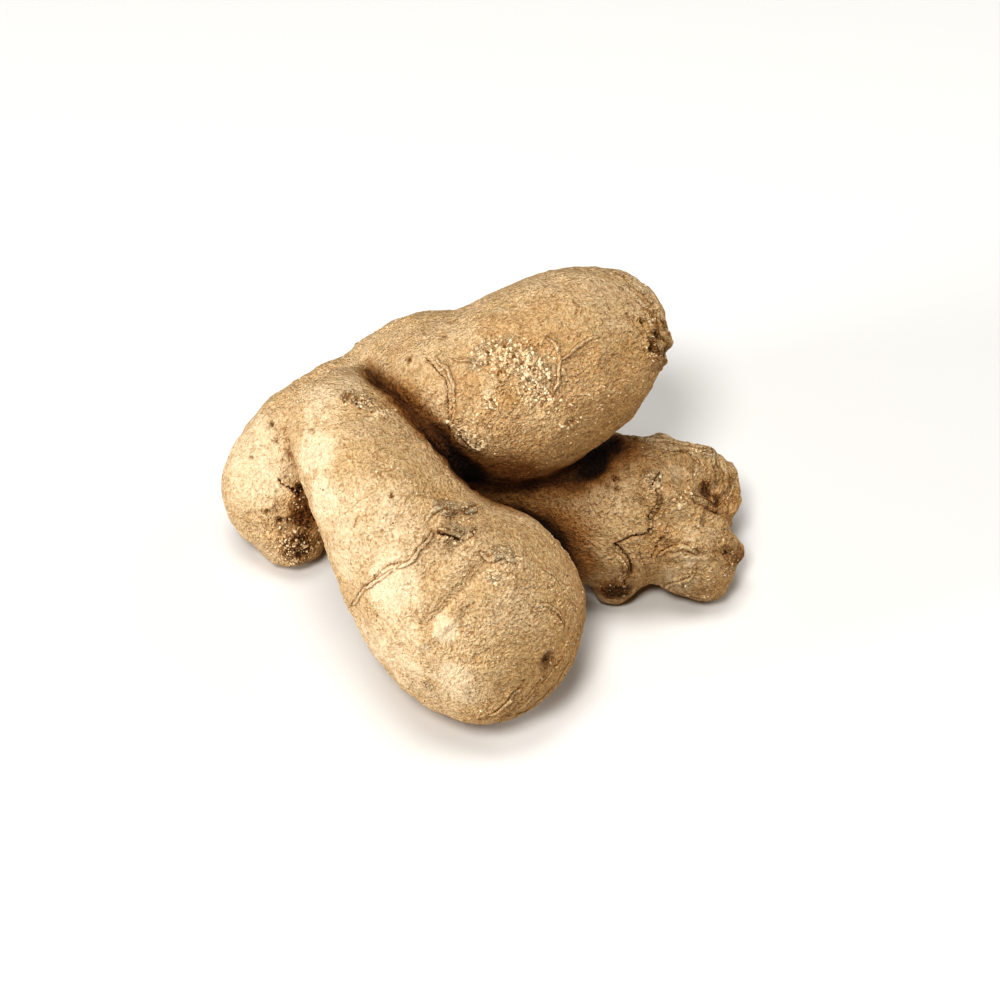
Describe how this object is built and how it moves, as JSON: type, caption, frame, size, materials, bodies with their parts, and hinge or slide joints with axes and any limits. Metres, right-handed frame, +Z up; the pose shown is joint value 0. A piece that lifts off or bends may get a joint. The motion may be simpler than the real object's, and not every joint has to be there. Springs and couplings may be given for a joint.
{
  "type": "ginger root",
  "caption": "Fresh ginger rhizome with thick rounded fingers joined at a neck, lying on its side, with creases, ring scars, root pits and crumbling scabs in its skin.",
  "frame": {"origin": "middle of the bounding box's underside, on the surface that the root lies on", "axes": "+Z up; +X to the right along the root's length; +Y from the front finger's thick end towards the broken end at the back"},
  "size_m": [0.1105, 0.0949, 0.0695],
  "materials": {
    "skin": "dry, papery, matt tan bark with dark soil in its cracks and pits"
  },
  "bodies": {
    "root": {"rhizome": "skin"}
  },
  "joints": []
}
